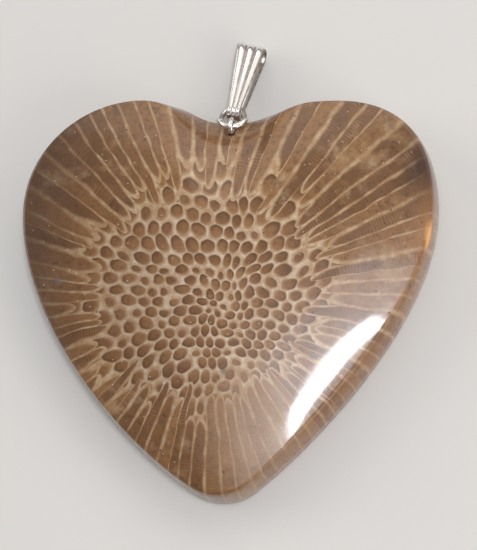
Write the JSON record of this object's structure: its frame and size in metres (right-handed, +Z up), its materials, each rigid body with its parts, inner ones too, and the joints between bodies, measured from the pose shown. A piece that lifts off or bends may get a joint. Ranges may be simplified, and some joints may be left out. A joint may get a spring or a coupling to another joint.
{
  "type": "favosites coral fossil heart pendant",
  "caption": "Polished heart-shaped cabochon of Favosites fossil coral with a silver eye pin, jump ring and fluted bail, lying on its flat back.",
  "frame": {"origin": "middle of the stone's flat back", "axes": "+Z up out of the polished face, +Y towards the notch and the bail, +X towards the right-hand lobe"},
  "size_m": [0.0502, 0.0566, 0.0077],
  "materials": {
    "polished_coral": "polished fossil coral: brown corallites with cream walls, glossy",
    "silver": "polished silver with fine wear scratches"
  },
  "bodies": {
    "pendant": {"stone": "polished_coral", "eye_pin": "silver"},
    "ring": {"jump_ring": "silver"},
    "bail": {"bail": "silver"}
  },
  "joints": [
    {"name": "ring_swing", "type": "hinge", "parent": "pendant", "child": "ring", "pos_m": [0.00041, 0.02047, 0.0044], "axis": [1, 0, 0], "range_deg": [-8, 85]},
    {"name": "bail_swing", "type": "hinge", "parent": "ring", "child": "bail", "pos_m": [0.00057, 0.02311, 0.00287], "axis": [0.9816, -0.1908, 0], "range_deg": [-65, 70]}
  ]
}
